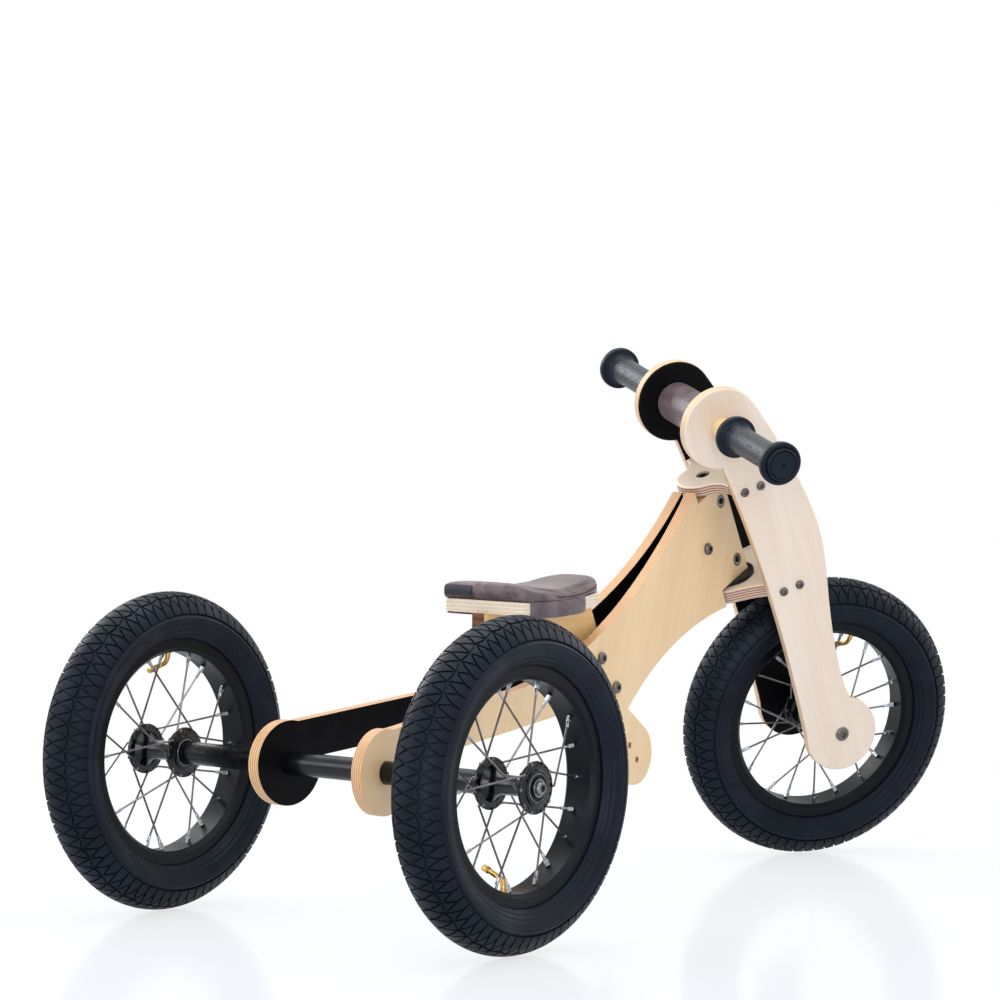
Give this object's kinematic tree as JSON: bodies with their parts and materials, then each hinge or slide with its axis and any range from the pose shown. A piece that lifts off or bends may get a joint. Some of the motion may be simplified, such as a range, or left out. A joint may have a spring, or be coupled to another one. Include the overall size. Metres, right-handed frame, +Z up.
{
  "type": "balance trike",
  "caption": "Child's plywood balance trike without pedals: spoked wheels with air tyres, a steered plywood fork with a wooden handlebar, and a padded seat on a spread frame.",
  "frame": {"origin": "on the floor below the middle of the overall length, on the middle plane", "axes": "+X forward, +Y to the rider's left, +Z up"},
  "size_m": [1.0418, 0.495, 0.5388],
  "materials": {
    "tyre": "matte",
    "inner_tube": "matte",
    "rim": "satin black",
    "hub": "gloss black",
    "spoke": "black",
    "nipple": "bright",
    "bearing": "bright",
    "valve": "bright",
    "frame_ply": "clear lacquer outside, black inside",
    "fork_ply": "clear lacquer",
    "crown_ply": "clear lacquer",
    "seat_ply": "clear lacquer",
    "post_ply": "clear lacquer",
    "dowel": "clear lacquer",
    "leather": "grained",
    "grip": "pebbled",
    "axle": "satin black",
    "washer": "matte",
    "bolt": "dark"
  },
  "bodies": {
    "frame": {"frame_side_left": "frame_ply", "frame_side_right": "frame_ply", "head_clamp_bolt": "bolt", "head_clamp_nut": "bolt", "head_spacer": "post_ply", "lower_pivot_bolt": "bolt", "lower_thrust_disc": "washer", "pivot_barrel_nuts": "bolt", "rear_axle_bolts": "bolt", "rear_axle_tube": "axle", "seat_board": "seat_ply", "seat_flaps": "leather", "seat_packers": "post_ply", "seat_pad": "leather", "seat_post": "post_ply", "seat_post_bolts": "bolt", "seat_post_nuts": "bolt", "seat_screws": "bolt", "upper_pivot_bolt": "bolt", "upper_thrust_washer": "washer"},
    "fork": {"fork_blade_left": "fork_ply", "fork_blade_right": "fork_ply", "fork_screws_left": "bolt", "fork_screws_right": "bolt", "front_axle_bolt": "bolt", "front_axle_cap": "bolt", "front_axle_spacers": "axle", "grip_left": "grip", "grip_right": "grip", "handlebar": "dowel", "handlebar_sleeve": "leather", "lower_crown": "crown_ply", "upper_crown": "crown_ply"},
    "front_wheel": {"front_wheel_bearings": "bearing", "front_wheel_hub_shell": "hub", "front_wheel_inner_tube": "inner_tube", "front_wheel_nipples": "nipple", "front_wheel_rim": "rim", "front_wheel_spokes": "spoke", "front_wheel_tyre": "tyre", "front_wheel_valve": "valve"},
    "rear_left_wheel": {"rear_left_wheel_bearings": "bearing", "rear_left_wheel_hub_shell": "hub", "rear_left_wheel_inner_tube": "inner_tube", "rear_left_wheel_nipples": "nipple", "rear_left_wheel_rim": "rim", "rear_left_wheel_spokes": "spoke", "rear_left_wheel_tyre": "tyre", "rear_left_wheel_valve": "valve"},
    "rear_right_wheel": {"rear_right_wheel_bearings": "bearing", "rear_right_wheel_hub_shell": "hub", "rear_right_wheel_inner_tube": "inner_tube", "rear_right_wheel_nipples": "nipple", "rear_right_wheel_rim": "rim", "rear_right_wheel_spokes": "spoke", "rear_right_wheel_tyre": "tyre", "rear_right_wheel_valve": "valve"}
  },
  "joints": [
    {"name": "steering", "type": "hinge", "parent": "frame", "child": "fork", "pos_m": [0.34477, 0, 0.13074], "axis": [-0.4415, 0, 0.8973], "range_deg": [-24, 85.6]},
    {"name": "front_wheel_spin", "type": "hinge", "parent": "fork", "child": "front_wheel", "pos_m": [0.3823, -0.02494, 0.14921], "axis": [0.4594, 0.859, 0.2261], "continuous": true},
    {"name": "rear_left_wheel_spin", "type": "hinge", "parent": "frame", "child": "rear_left_wheel", "pos_m": [-0.36853, 0.21325, 0.1524], "axis": [0, 1, 0], "continuous": true},
    {"name": "rear_right_wheel_spin", "type": "hinge", "parent": "frame", "child": "rear_right_wheel", "pos_m": [-0.36853, -0.21325, 0.1524], "axis": [0, 1, 0], "continuous": true}
  ]
}
